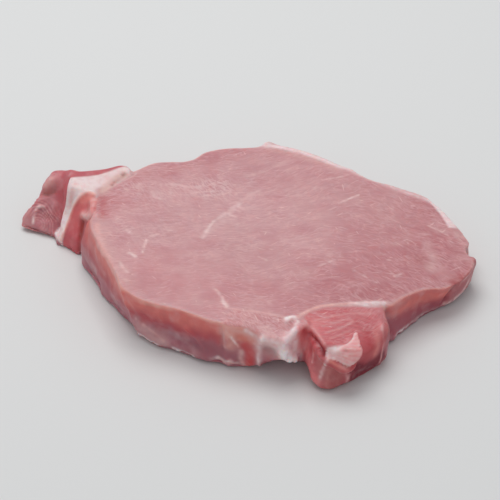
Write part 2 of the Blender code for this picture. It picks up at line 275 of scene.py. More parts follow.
# Its colours, as a brush would lay them: pale rose on the cut face, dark red walls with an orange band under the rim,
# and white fat. Most are the flesh's own colour in plain white light. The orange band is painted glow, the walls are
# partly darkened as painted shade, and painted shade, shadows and highlights are laid in creases, under overhangs and
# along rims where marked below.
ROSE = (0.590, 0.290, 0.300)
ROSE_PALE = (0.600, 0.325, 0.335)
ROSE_DEEP = (0.480, 0.165, 0.180)
# Pale greyish pink: a painted highlight along the rims, and pale tissue low on the walls.
PALE_TISSUE_AND_SHEEN = (0.70, 0.45, 0.44)
RIM_GLOW = (0.82, 0.38, 0.325)
WALL_ORANGE = (0.725, 0.185, 0.165)
WALL_RED = (0.51, 0.080, 0.096)
WALL_MAUVE = (0.47, 0.170, 0.205)
# Dark red for painted shade and shadow in creases and under the slice.
DARK_RED_SHADE = (0.25, 0.025, 0.035)
FAT = (0.82, 0.66, 0.65)
FAT_WET = (0.93, 0.76, 0.76)
FAT_PINK = (0.76, 0.43, 0.41)
SEAM_PINK = (0.82, 0.46, 0.41)
CORAL = (0.74, 0.23, 0.21)
TAIL_MAUVE = (0.53, 0.190, 0.210)
LOBE_PINK = (0.620, 0.150, 0.165)

FAT_WEDGE = (
    (-35.0, 31.6), (-35.4, 34.4), (-37.5, 34.6), (-41.1, 31.9), (-44.8, 30.0), (-47.2, 29.3), (-50.3, 28.9),
    (-53.6, 28.7), (-54.6, 26.0), (-54.9, 23.6), (-56.0, 22.5), (-57.4, 21.7), (-58.4, 20.4), (-58.0, 18.0),
    (-56.4, 15.6), (-55.1, 16.9), (-54.1, 18.5), (-53.2, 19.8), (-52.2, 21.0), (-50.3, 21.5), (-47.7, 21.6),
    (-46.4, 21.4), (-44.9, 19.4), (-43.6, 20.4), (-41.4, 22.8), (-39.4, 25.2), (-37.0, 28.6))
SIDE_STRIP = (
    (-45.6, 20.8), (-47.7, 21.6), (-50.3, 21.5), (-52.2, 21.0), (-53.2, 19.8), (-54.1, 18.5), (-55.1, 16.9),
    (-56.4, 15.6), (-56.0, 13.0), (-52.0, 11.0), (-50.4, 12.0), (-49.7, 14.9), (-49.0, 16.6), (-47.4, 15.6),
    (-45.8, 13.4), (-44.8, 14.6), (-44.6, 19.0))
TAIL = ((-53.6, 28.7), (-54.6, 26.0), (-54.9, 23.6), (-56.0, 22.5), (-57.4, 21.7), (-59.2, 19.6), (-72.0, 20.0), (-72.0, 40.0), (-36.0, 40.0), (-37.6, 34.6), (-44.8, 30.0))
FRONT_PATCH = ((-3.5, -32.6), (3.6, -33.6), (10.8, -35.6), (15.6, -36.6), (14.0, -41.5), (11.0, -44.2), (5.0, -42.6), (-2.0, -39.8), (-5.6, -38.4))
LOBE_TOP = ((17.6, -36.0), (19.0, -33.8), (24.0, -31.2), (33.0, -29.4), (41.0, -28.4), (40.6, -37.0), (34.5, -45.0), (24.0, -47.2), (21.0, -43.2))

facing = read_rows(chop, "normal")
drop = cut_height(resting) - resting[:, 2]
up = rise(0.35, 0.75, facing[:, 2])
ragged = lumps(resting, 2.0, 8)
fine = lumps(resting, 0.9, 9)
x, y, z = resting.T
paint = np.tile(np.array(ROSE), (len(resting), 1))


def lay(colour, cover):
    """Brushes a colour over the slice, as thick as cover says at each point."""
    cover = np.clip(cover, 0.0, 1.0)[:, None]
    paint[:] = paint * (1.0 - cover) + np.array(colour) * cover


def brush(colour, line, half_width, strength=1.0, edge=0.35):
    """Lays a colour along a line, with an irregular edge."""
    lay(colour, strength * np.clip(near_line(resting, line, half_width) * (1.0 + edge * fine), 0.0, 1.0))


# The cut face: pale and greyish over the middle, partly a painted sheen, deeper towards the back left edge and the
# broad end.
def spot(place, reach):
    """1 at a place seen from above, fading over the reach."""
    return np.exp(-((x - place[0]) ** 2 + (y - place[1]) ** 2) / reach ** 2)


for colour, place, reach, strength in (
        ((0.605, 0.345, 0.352), (-4.0, 12.0), 18.0, 0.8), ((0.615, 0.345, 0.350), (18.0, 12.0), 15.0, 0.7),
        ((0.600, 0.325, 0.335), (-36.0, 2.0), 7.0, 0.6),
        ((0.520, 0.280, 0.290), (-24.0, 6.0), 7.0, 0.5), ((0.540, 0.260, 0.275), (-10.0, 26.0), 9.0, 0.5), ((0.520, 0.270, 0.280), (-2.0, -7.0), 6.0, 0.5),
        ((0.520, 0.260, 0.275), (4.0, 34.0), 9.0, 0.7), ((0.530, 0.260, 0.270), (30.0, 22.0), 8.0, 0.3),
        ((0.600, 0.245, 0.260), (-31.0, -12.0), 7.0, 0.6), ((0.600, 0.250, 0.265), (-20.0, -20.0), 7.0, 0.5),
        ((0.590, 0.235, 0.250), (-7.0, -25.0), 7.0, 0.5), ((0.560, 0.215, 0.230), (8.0, -26.0), 7.0, 0.5),
        ((0.485, 0.165, 0.185), (24.0, -22.0), 12.0, 0.8), ((0.520, 0.200, 0.220), (38.0, -8.0), 8.0, 0.5),
        ((0.500, 0.150, 0.165), (-42.0, 17.0), 5.0, 0.8), ((0.540, 0.200, 0.215), (-37.0, 20.0), 6.0, 0.5),
        ((0.460, 0.160, 0.190), (-24.0, 35.0), 6.0, 0.6), ((0.450, 0.150, 0.170), (-11.0, 40.0), 4.0, 0.6),
        ((0.540, 0.300, 0.310), (8.0, -12.0), 8.0, 0.4)):
    lay(colour, strength * spot(place, reach))
lay(ROSE_DEEP, 0.85 * rise(22.0, 58.0, x - 0.35 * y))
lay((0.46, 0.15, 0.165), 0.8 * near_line(resting, ((30.0, -25.0, 16.2), (36.0, -23.4, 15.5), (43.0, -21.0, 14.5)), 2.0))
lay(ROSE_DEEP, 0.5 * rise(37.0, 45.0, y - 0.10 * x))
lay((0.50, 0.17, 0.18), 0.6 * near_line(resting, ((-34.0, 28.6, 17.0), (-31.0, 31.0, 17.0), (-25.5, 32.6, 16.8), (-18.0, 35.5, 16.6)), 2.4))
lay((0.62, 0.34, 0.335), 0.5 * spot((43.0, 18.0), 7.0))
lay((0.42, 0.12, 0.12), 0.7 * spot((53.0, -4.5), 2.2))
lay((0.46, 0.15, 0.165), 0.6 * spot((66.0, -4.0), 5.5))
lay(PALE_TISSUE_AND_SHEEN, 0.5 * near_line(resting, ((55.5, 2.0, 12.2), (57.0, -3.0, 11.8), (56.0, -9.0, 11.8)), 1.6))
# Painted highlight: a pale band just inside the left rim.
lay((0.66, 0.38, 0.36), 0.5 * near_line(resting, ((-43.2, 8.0, 16.8), (-41.4, -2.0, 17.0), (-38.0, -11.0, 17.0), (-34.0, -20.0, 17.0)), 2.4))

mottle = lumps(resting * (0.55, 1.0, 1.0), 3.0, 31) + 1.0 * lumps(resting, 7.0, 32)
lay((0.63, 0.35, 0.35), 0.45 * np.maximum(mottle, 0.0))
lay((0.50, 0.19, 0.21), 0.35 * np.maximum(-mottle, 0.0))

# Torn bundles and seams of connective tissue show as single pale strokes.
for line, half_width, strength in (
        (((-12.0, 0.0, 17.2), (-11.0, 2.8, 17.2)), 0.7, 0.8), (((-11.0, 2.8, 17.2), (-9.0, 7.4, 17.2)), 0.45, 0.75),
        (((-8.8, 7.8, 17.2), (-5.4, 11.4, 17.1)), 0.45, 0.5), (((-5.0, 11.0, 17.1), (-1.6, 15.6, 17.1)), 0.8, 0.55),
        (((-10.0, 3.0, 17.2), (-4.0, 11.0, 17.1)), 1.4, 0.25), (((-1.6, 15.6, 17.0), (4.5, 22.5, 17.0)), 1.4, 0.25),
        (((-4.4, 11.0, 17.1), (-2.2, 9.8, 17.1)), 0.35, 0.5), (((-2.6, 13.2, 17.1), (-1.0, 12.2, 17.1)), 0.35, 0.5),
        (((-1.8, 14.8, 17.1), (0.4, 13.4, 17.1)), 0.35, 0.5),
        (((-14.6, 21.6, 17.0), (-9.0, 22.4, 17.0)), 0.3, 0.5), (((-12.6, 19.8, 17.0), (-6.0, 21.0, 17.0)), 0.3, 0.4),
        (((29.1, 17.7, 16.1), (32.2, 20.3, 15.5), (35.4, 22.9, 15.0)), 0.3, 0.9), 
        (((22.3, -12.7, 16.6), (24.7, -11.2, 16.5), (27.1, -9.7, 16.4)), 0.3, 0.6),
        (((24.4, 28.6, 16.4), (28.5, 30.4, 15.8), (33.0, 32.6, 15.1)), 0.3, 0.5),
        (((-9.2, -22.4, 16.8), (-7.4, -24.4, 16.9), (-6.2, -27.4, 16.9)), 0.45, 0.5),
        (((-6.2, -27.4, 16.9), (-4.8, -31.0, 16.9)), 0.6, 1.2),
        (((32.6, -14.0, 16.1), (34.6, -15.4, 15.8), (36.4, -16.6, 15.6)), 0.35, 0.5),
        (((37.0, -17.6, 15.2), (39.4, -18.4, 14.9)), 0.3, 0.5), (((44.6, -14.6, 14.2), (47.4, -12.6, 13.8)), 0.35, 0.6),
        (((-28.8, -1.0, 17.0), (-29.5, -3.8, 17.0), (-29.9, -6.8, 17.0)), 0.35, 0.9),
        (((-34.4, -6.8, 17.0), (-33.2, -7.4, 16.9), (-32.0, -8.6, 16.9)), 0.5, 0.9),
        (((-35.2, 4.2, 16.8), (-33.4, 1.8, 16.9)), 0.4, 0.6),
        (((-36.4, -11.4, 17.1), (-35.4, -14.0, 17.1), (-34.0, -16.0, 17.1)), 0.45, 0.6),
        (((-27.8, 0.6, 17.0), (-25.4, 1.6, 17.1)), 0.3, 0.5),
        (((56.4, 11.8, 11.9), (59.4, 10.2, 11.5), (62.0, 8.0, 11.3)), 0.35, 0.5),
        (((4.6, -8.6, 16.7), (7.0, -10.0, 16.7)), 0.3, 0.4),
        (((-25.5, 25.6, 17.0), (-20.9, 25.8, 16.9), (-16.2, 24.2, 16.9), (-11.7, 25.4, 16.8), (-7.7, 27.0, 16.7)), 0.45, 0.4),
        (((-28.2, 21.9, 17.0), (-26.9, 19.4, 17.1), (-25.3, 18.4, 17.1)), 0.5, 0.6),
        (((2.0, 30.0, 16.6), (7.0, 33.0, 16.6), (13.0, 37.0, 16.4)), 0.9, 0.25)):
    brush((0.84, 0.62, 0.60), line, half_width, strength, 1.0)

# The walls, from the rim down, with a pale line of painted highlight where the cut face turns over.
lay(PALE_TISSUE_AND_SHEEN, 0.7 * rise(0.985, 0.93, facing[:, 2]) * up * rise(3.0, 1.5, drop) * (1.0 - spot((-43.0, 17.0), 8.0)))
side = np.maximum(1.0 - up, rise(0.8, 1.8, drop))
left_wall = rise(-33.0, -37.0, x) * rise(-22.0, -17.0, y)
broad_end = rise(60.6, 62.6, x) * rise(4.0, 0.0, y)
down = drop + 0.5 * ragged + 0.9 * lumps(resting, 5.0, 41)
# Painted glow: an orange band at the rim and down the top of the walls stands in for light shining through the flesh.
# The red and mauve lower down are the walls' own colour, partly darkened as painted shade.
lay(RIM_GLOW, rise(0.93, 0.72, facing[:, 2]) * rise(-0.6, 0.2, drop) * (1.0 - 0.6 * left_wall))
lay(WALL_ORANGE, side * rise(0.6, 2.2, down))
lay(WALL_RED, side * rise(3.2, 8.0, down))
lay(WALL_MAUVE, side * rise(7.2, 11.8, down + 0.9 * ragged))
# Painted shade: darker along the crease low on the front wall.
lay((0.36, 0.115, 0.145), 0.8 * side * rise(7.0, 9.5, down) * near_line(resting, ((-17.0, -34.4, 4.5), (-11.0, -37.0, 5.5), (-6.4, -38.4, 6.0)), 3.6))
lay(PALE_TISSUE_AND_SHEEN, 0.35 * side * rise(8.0, 11.0, down) * rise(0.1, 0.7, lumps(resting, 3.2, 33)) * rise(-10.0, -16.0, x))
brush(PALE_TISSUE_AND_SHEEN, ((-31.0, -26.2, 5.4), (-27.6, -28.6, 4.4), (-24.0, -30.8, 3.2)), 2.4, 0.5)
brush(FAT_PINK, ((-31.6, -25.4, 7.0), (-28.4, -28.0, 6.2), (-25.6, -29.8, 5.0), (-23.0, -31.4, 3.4)), 0.4, 0.6, 0.8)
# Painted shade in the groove to the right of the lobe.
brush((0.44, 0.175, 0.21), ((42.8, -29.6, 9.0), (43.6, -27.6, 5.5), (46.0, -25.4, 3.6)), 3.0, 0.75)
right_wall = rise(41.5, 43.5, x) * (1.0 - broad_end)
# The right wall: red rather than orange under its rim, and darker below, partly as painted shade where it faces away
# from the light.
lay((0.57, 0.110, 0.120), 0.7 * right_wall * side * rise(2.8, 1.0, down))
lay((0.38, 0.075, 0.105), 0.65 * right_wall * side * rise(2.6, 7.4, down))
# A faint painted highlight along the front right rim.
brush((0.74, 0.42, 0.40), ((43.0, -26.4, 14.2), (45.0, -23.8, 14.0), (47.6, -21.6, 13.6), (50.6, -19.9, 13.0)), 1.0, 0.12, 0.2)
lay((0.72, 0.38, 0.37), 0.55 * side * rise(-0.15, 0.6, facing[:, 1]) * rise(-38.0, -30.0, x) * (1.0 + 0.5 * ragged))
# A pale pink line of painted highlight along the left rim.
brush((0.82, 0.45, 0.41), ((-44.2, 6.0, 16.5), (-43.0, -0.8, 16.5), (-41.4, -6.3, 16.5), (-39.4, -11.4, 16.0), (-37.0, -17.2, 15.4), (-35.6, -21.0, 15.2)), 1.0, 0.75, 0.2)
brush((0.60, 0.22, 0.225), ((-46.2, 6.0, 14.4), (-45.8, 1.6, 13.0), (-44.6, -2.2, 11.4), (-42.6, -8.0, 10.4)), 1.8, 0.6)
brush((0.50, 0.23, 0.25), ((-48.4, 15.0, 8.4), (-48.4, 8.6, 8.0), (-48.0, 4.6, 6.4), (-46.6, 0.0, 4.0)), 2.2, 0.7)
# Painted shade: the broad end darkens where its top tilts over.
lay((0.45, 0.115, 0.13), broad_end * rise(-0.4, 0.4, drop) * rise(0.99, 0.90, facing[:, 2]))
# Painted shade: darker at the foot of the right wall, by the board.
brush((0.36, 0.09, 0.12), ((50.0, -20.6, 3.0), (54.4, -17.2, 2.8), (58.7, -15.4, 3.6)), 1.8, 0.7)
for line, strength in (
        (((-31.6, -25.2, 2.0), (-29.6, -27.0, 1.6), (-27.0, -29.2, 1.4), (-25.4, -30.4, 1.4)), 1.4),
        (((-20.6, -32.8, 1.5), (-17.6, -34.2, 1.3), (-14.6, -35.2, 1.5)), 1.2),
        (((-9.0, -37.4, 2.2), (-7.1, -38.0, 3.2), (-5.4, -38.6, 2.2), (-3.6, -39.4, 3.4), (-1.4, -39.2, 2.2)), 1.3),
        (((43.8, -30.0, 2.2), (45.4, -26.4, 1.8), (49.0, -22.2, 1.4)), 1.0), (((49.0, -22.2, 1.4), (53.0, -18.2, 1.5), (58.0, -14.9, 1.6)), 0.45),
        (((60.0, -13.6, 1.6), (63.6, -11.2, 2.0), (66.0, -8.4, 3.0)), 0.8)):
    brush(FAT_WET, line, 0.65, strength, 0.7)

# The side strip, the wedge of fat and the tail.
tail = inside(resting, TAIL, 0.4)
lay(TAIL_MAUVE, tail)
lay(WALL_RED, 0.7 * tail * rise(-59.5, -56.5, x + 0.6 * ragged) * rise(19.0, 23.0, y))
lay((0.62, 0.30, 0.30), 0.6 * tail * rise(-64.0, -67.5, x))
brush((0.66, 0.32, 0.31), TAIL_LUMP, 1.6, 1.0)
# Painted shadow: orange under the tail's lump.
brush((0.60, 0.19, 0.165), TAIL_LUMP_FOLD, 0.8, 0.8)
arc = np.linalg.norm(resting - (-64.0, 23.0, 3.4), axis=1) + 1.3 * lumps(resting, 3.2, 1) + 1.0 * lumps(resting, 6.0, 37)
aslant = rise(-1.0, 1.5, 0.8 * (x + 64.0) + 0.6 * (y - 23.0))
lay(FAT_PINK, tail * aslant * (0.45 + 0.4 * lumps(resting, 1.8, 38)) * rise(0.2, 0.9, np.sin(arc * 2.0 * math.pi / 0.95)) * rise(10.0, 5.0, arc) * rise(0.8, 1.6, arc))
# Painted shade in the troughs between the rings.
lay((0.44, 0.11, 0.13), 0.35 * tail * aslant * rise(-0.2, -0.9, np.sin(arc * 2.0 * math.pi / 0.95)) * rise(10.0, 5.0, arc))
# Painted shade on the tail's lower right, by the fat.
brush((0.40, 0.12, 0.14), ((-61.3, 22.4, 3.0), (-58.8, 21.6, 2.8), (-57.6, 23.0, 4.0)), 1.3, 0.7)
brush((0.88, 0.62, 0.61), TAIL_FILM, 0.42, 1.1, 0.6)
lay(WALL_RED, 0.5 * tail * rise(33.5, 35.5, y))
strip = inside(resting, SIDE_STRIP, 0.35) * rise(-0.5, 0.1, facing[:, 2] + 0.3)
lay((0.64, 0.135, 0.140), strip)
lay((0.58, 0.110, 0.130), 0.8 * strip * rise(9.0, 5.0, z))
brush((0.86, 0.27, 0.23), ((-49.6, 20.8, 15.4), (-47.4, 20.2, 16.6), (-45.6, 19.0, 16.8)), 1.6, 0.9)
brush((0.74, 0.40, 0.38), ((-45.6, 18.6, 16.6), (-46.0, 16.6, 16.2), (-45.6, 14.6, 16.3)), 1.2, 0.75, 0.8)
brush((0.74, 0.40, 0.38), ((-46.6, 18.2, 15.2), (-47.2, 16.8, 13.8)), 0.9, 0.6, 0.8)
fat = inside(resting, FAT_WEDGE, 0.35) * rise(-0.5, -0.1, facing[:, 2])
lay(FAT, fat)
lay(FAT_WET, fat * rise(-53.5, -55.0, x) * rise(11.0, 8.0, z))
lay(FAT_PINK, 0.75 * fat * rise(-45.0, -39.0, x) * rise(33.0, 26.0, y + 0.5 * ragged))
# A coral streak of painted shade inside the wedge's left leg.
brush(CORAL, ((-51.6, 25.4, 17.0), (-52.4, 23.6, 15.4), (-53.0, 22.4, 12.8)), 0.7, 0.45)
brush((0.90, 0.50, 0.44), STRIP_EDGE, 0.5, 1.0)
# Painted shade: dark red down the crevice beside the strip.
brush((0.44, 0.07, 0.06), STRIP_CREVICE, 0.7, 1.2)
brush((0.76, 0.44, 0.43), STRIP_FOLD, 1.2, 1.1, 0.6)
brush((0.60, 0.20, 0.19), ((-48.0, 17.6, 13.6), (-46.6, 15.2, 15.2)), 0.4, 0.7)

brush((0.50, 0.13, 0.14), ((-43.6, 22.0, 17.2), (-42.9, 19.0, 16.6), (-42.7, 14.0, 16.6), (-42.4, 11.0, 16.6)), 1.7, 0.85)
brush((0.66, 0.42, 0.38), ((-43.2, 21.8, 17.2), (-41.0, 25.2, 17.2), (-39.2, 28.0, 17.2), (-37.0, 31.0, 17.0)), 1.3, 0.9, 0.5)
# Painted shade in two small pits at the wedge's edge.
brush((0.40, 0.14, 0.13), ((-37.4, 30.4, 17.0), (-36.8, 31.2, 17.0)), 0.5, 0.6)
brush((0.40, 0.12, 0.11), ((-40.2, 25.4, 17.2), (-39.8, 26.4, 17.2)), 0.6, 0.8)

# The front: the small muscle between the eye and the lobe, and its fat.
front_patch = up * inside(resting, FRONT_PATCH, 0.6)
lay((0.56, 0.20, 0.205), 0.75 * front_patch)
lay(FAT_PINK, 0.3 * front_patch * rise(0.0, 0.8, lumps(resting, 0.9, 36)))
lay((0.46, 0.12, 0.14), 0.35 * front_patch * rise(0.0, -0.8, lumps(resting, 1.4, 39)))
lay((0.50, 0.15, 0.17), 0.6 * up * near_line(resting, ((7.9, -37.0, 16.6), (10.0, -40.0, 16.3), (10.6, -42.0, 16.0)), 2.0))
brush(FAT_PINK, ((-5.0, -31.6, 17.0), (0.7, -33.0, 17.0), (5.7, -33.8, 17.0), (12.0, -35.8, 16.9)), 0.45, 0.7)
brush((0.80, 0.40, 0.35), ((-5.9, -37.8, 14.6), (-3.0, -38.8, 14.6), (0.2, -39.9, 14.6), (3.0, -41.0, 13.8)), 1.2, 0.8)
brush((0.83, 0.45, 0.40), ((-4.8, -39.0, 13.4), (-3.6, -39.4, 11.6), (-3.4, -39.4, 9.0)), 2.2, 0.85)
brush((0.70, 0.38, 0.37), ((-5.6, -38.6, 12.6), (-5.3, -38.8, 8.2)), 0.6, 0.8)
brush((0.76, 0.25, 0.18), ((-0.6, -39.8, 12.2), (1.6, -40.4, 11.6), (2.6, -40.8, 12.0)), 1.4, 0.8)
brush((0.60, 0.085, 0.09), ((1.2, -40.2, 9.6), (2.1, -40.5, 7.4), (2.0, -40.4, 4.4), (1.6, -40.2, 1.4)), 1.8, 1.2, 0.1)
brush(FAT_WET, WHITE_FLECK, 0.32, 1.2)
brush(SEAM_PINK, ((-2.0, -39.7, 9.8), (-1.4, -39.7, 8.6)), 0.35, 1.0)
brush((0.86, 0.62, 0.61), ((0.8, -39.9, 15.4), (2.2, -40.4, 14.9), (3.6, -41.2, 14.4)), 0.6, 1.0, 0.8)
brush((0.42, 0.15, 0.18), ((-5.0, -38.7, 5.6), (-3.0, -38.9, 4.4), (-2.2, -39.2, 3.4)), 1.2, 0.9)
brush(FAT_PINK, ((-0.4, -39.4, 6.8), (-0.7, -39.4, 4.2), (0.0, -39.6, 1.6)), 0.8, 1.1)
brush(FAT_PINK, ((-7.0, -38.2, 2.6), (-5.2, -38.9, 1.8), (-3.4, -39.5, 2.2)), 0.9, 0.8)
# Painted shade: a near black line in the tear low on the front wall.
brush((0.20, 0.02, 0.03), WALL_TEAR, 0.4, 1.3)
brush((0.80, 0.52, 0.51), ((6.2, -42.4, 12.4), (8.4, -42.8, 11.4), (10.6, -43.8, 11.4)), 3.4, 1.3)
brush((0.46, 0.24, 0.245), GREY_HOLLOW, 1.9, 0.9)
brush(FAT_WET, WEDGE_LIP, 0.9, 0.9)
brush(FAT_WET, WHITE_BAND, 0.85, 1.2)
# Painted shadow: dark red under the front where it arches off the board.
brush(DARK_RED_SHADE, ((5.8, -42.0, 4.0), (9.4, -43.3, 5.0), (12.3, -43.5, 5.4), (14.4, -42.4, 4.6)), 1.2, 0.9)
brush(DARK_RED_SHADE, ((6.2, -42.0, 2.5), (10.0, -42.6, 2.5), (14.0, -42.0, 2.5)), 2.0, 0.7)
brush((0.88, 0.60, 0.61), ((13.0, -43.6, 15.0), (13.6, -43.4, 12.4), (13.8, -43.0, 9.6)), 2.2, 1.3)
brush((1.0, 0.85, 0.86), ((12.2, -44.8, 10.6), (13.4, -43.8, 8.4), (14.8, -43.0, 7.4)), 2.2, 1.2, 0.6)
brush((1.0, 0.90, 0.91), SEAM_KNOT_TOP, 0.85, 1.4, 1.0)
brush((1.0, 0.90, 0.91), SEAM_KNOT_LOW, 0.95, 1.4, 1.0)
brush((0.92, 0.72, 0.73), ((13.9, -43.4, 15.2), (15.4, -42.0, 12.0), (15.5, -42.0, 8.6)), 1.6, 1.0, 0.8)
brush((0.80, 0.47, 0.48), KNOT_HOLE, 0.7, 0.8, 0.6)
brush((0.82, 0.54, 0.54), ((16.2, -39.6, 16.8), (16.4, -41.6, 14.0), (16.2, -42.0, 9.6)), 0.9, 0.9)

# The lobe: coral fibres on its cut face, a dark pocket on its left and bloody meat below.
lobe_side = side * rise(16.8, 17.8, x) * rise(43.0, 41.0, x) * rise(-35.0, -37.0, y)
lay(WALL_RED, 0.9 * lobe_side)
lobe_top = inside(resting, LOBE_TOP, 0.5) * rise(0.2, 0.5, facing[:, 2])
lay(LOBE_PINK, lobe_top)
lay((0.62, 0.13, 0.15), 0.55 * lobe_top * np.maximum(0.0, lumps(resting * (0.6, 1.0, 1.0), 2.6, 35) + 0.3))
lay((0.74, 0.25, 0.24), 0.5 * lobe_top * spot((20.0, -37.0), 4.0))
brush((0.76, 0.34, 0.34), ((33.0, -31.4, 15.0), (36.0, -30.8, 14.6), (39.4, -30.4, 14.2)), 1.6, 0.5, 0.6)
brush(FAT_PINK, ((21.0, -36.8, 16.6), (26.8, -33.8, 15.9), (32.6, -31.8, 15.1), (37.0, -31.4, 14.4)), 0.35, 0.5)
brush(FAT_PINK, ((22.8, -38.8, 16.2), (26.7, -36.8, 15.6), (31.0, -34.0, 15.0)), 0.35, 0.5)
brush(FAT_PINK, ((23.7, -41.6, 16.0), (26.6, -39.6, 15.4), (29.6, -37.2, 14.8), (31.7, -35.0, 14.7)), 0.4, 0.6)
brush(FAT_PINK, ((25.0, -43.4, 15.6), (28.0, -40.8, 14.8), (31.0, -38.4, 14.2)), 0.35, 0.4)
brush((0.76, 0.215, 0.225), ((17.1, -40.7, 15.6), (17.8, -40.9, 10.5), (18.8, -43.6, 7.9), (20.0, -46.6, 6.0), (20.9, -48.2, 3.2)), 1.9, 1.0)
brush((0.60, 0.185, 0.19), ((22.4, -47.3, 11.6), (22.0, -47.3, 9.8), (21.6, -47.4, 7.0)), 1.3, 1.0)
brush((0.56, 0.075, 0.085), ((18.0, -40.2, 15.4), (20.0, -41.8, 14.6), (22.0, -45.6, 14.6)), 1.4, 1.0)
# Painted shadow: dark red down the crevice at the lobe's left rim.
brush((0.34, 0.025, 0.035), LOBE_CREVICE[2:], 0.9, 1.2)
brush((0.74, 0.34, 0.34), ((21.0, -44.8, 14.0), (20.5, -45.8, 12.0), (20.0, -46.0, 8.8)), 0.35, 0.8)
brush((0.76, 0.36, 0.35), LOBE_RIM, 0.6, 0.6)
# Painted shade: dark red on the lobe's front below the hanging tag.
brush((0.48, 0.130, 0.130), ((25.2, -48.8, 8.0), (27.6, -49.6, 8.0)), 2.0, 1.2)
brush((0.46, 0.118, 0.120), ((25.0, -48.8, 5.6), (27.6, -48.6, 5.0), (25.6, -49.0, 2.4)), 2.4, 1.2)
brush((0.60, 0.22, 0.21), ((24.8, -49.0, 8.6), (24.2, -48.8, 5.4), (24.2, -49.0, 3.0)), 0.9, 0.7)
brush((0.86, 0.60, 0.59), LOBE_FRONT_LINE, 0.6, 1.0, 0.7)
# Painted shadow: near black under the lobe's front right, where it is lifted off the board.
brush((0.20, 0.008, 0.025), ((32.6, -46.6, 6.2), (35.0, -44.4, 4.4), (38.0, -41.4, 4.4), (40.2, -38.8, 4.4)), 2.2, 1.4, 0.2)
brush((0.20, 0.008, 0.025), ((31.8, -45.8, 2.6), (35.0, -43.4, 2.0), (38.0, -40.8, 2.0)), 2.0, 1.3, 0.2)
brush((0.74, 0.38, 0.38), ((29.0, -49.4, 10.0), (29.8, -49.6, 8.4), (30.4, -47.4, 4.0), (30.2, -47.4, 2.4)), 0.7, 0.9, 0.6)
brush((0.52, 0.075, 0.085), ((36.2, -37.6, 12.6), (36.4, -41.0, 10.8), (37.6, -41.8, 8.6)), 2.2, 0.9)
brush((0.72, 0.22, 0.205), ((38.8, -36.4, 13.2), (39.0, -39.2, 10.6), (38.4, -40.9, 7.6)), 1.2, 0.8)
brush((0.70, 0.33, 0.33), LOBE_SIDE_LINE, 0.38, 0.9)
brush((0.84, 0.56, 0.54), LOBE_SPECK, 0.45, 0.9)
# Painted shadow: the lobe's right side and shoulder, darker where they turn into the gap by the wall.
brush((0.40, 0.14, 0.18), ((41.8, -30.6, 11.0), (41.8, -35.6, 9.0), (42.0, -36.0, 4.0)), 1.0, 0.9)
brush((0.38, 0.10, 0.12), ((42.0, -29.6, 13.0), (42.2, -32.6, 11.6), (42.2, -35.0, 9.6)), 1.3, 0.85)
brush((0.50, 0.12, 0.135), ((39.8, -31.4, 13.8), (41.2, -33.5, 12.8), (41.2, -36.0, 11.4)), 1.0, 0.7)
brush(SEAM_PINK, LOBE_SEAM, 0.6, 1.0)
brush(WALL_RED, ((20.0, -35.4, 16.8), (26.0, -32.8, 16.2), (33.0, -30.8, 15.2), (39.0, -30.0, 14.4)), 0.8, 0.3)
brush((0.86, 0.64, 0.63), ((31.0, -28.9, 15.9), (35.7, -28.0, 15.2)), 0.7, 1.2, 0.8)
brush((0.88, 0.70, 0.70), ((35.4, -28.0, 15.2), (38.0, -27.6, 14.8), (41.0, -27.0, 14.3)), 0.9, 1.4, 0.8)
tag_up = np.where(z < 14.4, z - 14.4, (y + 47.0) / 1.15)
tag_x = x - 29.4
tag = rise(-0.25, 0.25, tag_x - np.interp(tag_up, TAG_ROWS, TAG_LEFT)) * rise(-0.25, 0.25, np.interp(tag_up, TAG_ROWS, TAG_RIGHT) - tag_x)
tag *= rise(-4.7, -4.1, tag_up) * rise(6.8, 6.2, tag_up) * np.where(z < 14.4, y < -46.2 + 0.7 * np.minimum(z - 13.4, 0.0), z > 14.1 + 0.15 * (y + 47.0))
spokes = np.sin(60.0 * np.arctan2(tag_up, tag_x + 8.0) + 1.0 * ragged)
lay((0.80, 0.35, 0.35), tag)
lay(FAT, 0.4 * tag * rise(0.0, 0.9, lumps(resting, 0.65, 40)))
lay(FAT, 0.28 * tag * rise(-0.2, 0.9, spokes + 0.6 * fine))
lay(CORAL, 0.15 * tag * rise(-0.2, -0.9, spokes))
lay(FAT_WET, tag * rise(-0.2, -4.0, tag_x + 0.9 * ragged) * (0.75 + 0.4 * fine))
lay(CORAL, 0.35 * tag * rise(-1.0, -3.6, tag_x) * rise(0.2, 0.9, lumps(resting, 1.0, 43)))
lay(FAT, 0.5 * tag * rise(-2.4, -3.6, tag_up))
# The white rim along the tag's upper left edge: its own fat, partly a painted highlight.
brush(FAT, tuple((29.4 + a, -47.0 + 1.15 * b, 14.5 + 0.16 * b) for a, b in zip(TAG_LEFT[7:], TAG_ROWS[7:])), 0.6, 0.8)
# Painted shadow: an orange line under the tag's lower edge.
brush((0.74, 0.26, 0.22), ((25.0, -48.8, 12.0), (27.0, -49.8, 11.0), (29.2, -50.2, 10.1), (31.0, -50.2, 9.9)), 0.6, 0.9)

